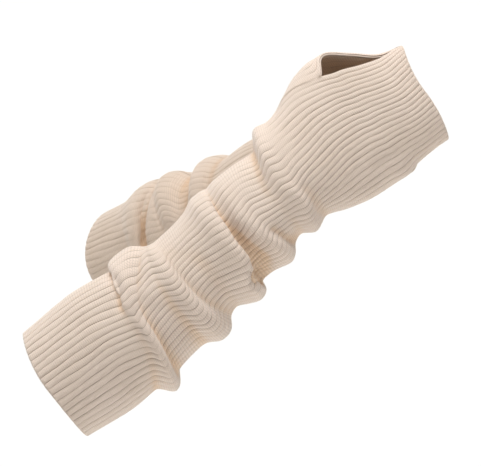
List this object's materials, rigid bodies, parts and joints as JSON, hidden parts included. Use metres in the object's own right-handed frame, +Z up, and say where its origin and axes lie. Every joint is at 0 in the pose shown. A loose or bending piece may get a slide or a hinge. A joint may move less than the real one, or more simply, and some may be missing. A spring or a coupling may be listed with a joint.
{
  "type": "pair of knitted arm warmers",
  "caption": "Long fingerless rib-knit arm warmers with thumb holes, worn pushed up in soft rolls, arms raised as for a hot drink.",
  "frame": {"origin": "inside the near sleeve, on the axis of the forearm that holds it up, half way along the sleeve", "axes": "+Z up, +X from the elbow side to the hand side as the front view shows it, +Y away from the front towards the far sleeve"},
  "size_m": [0.3234, 0.4004, 0.2953],
  "materials": {
    "near_wool": "cream rib knit with a soft nap",
    "far_wool": "cream rib knit with a soft nap"
  },
  "bodies": {
    "root": {"near_outer_half": "near_wool", "near_palm_half": "near_wool", "far_palm_half": "far_wool", "far_outer_half": "far_wool"}
  },
  "joints": []
}
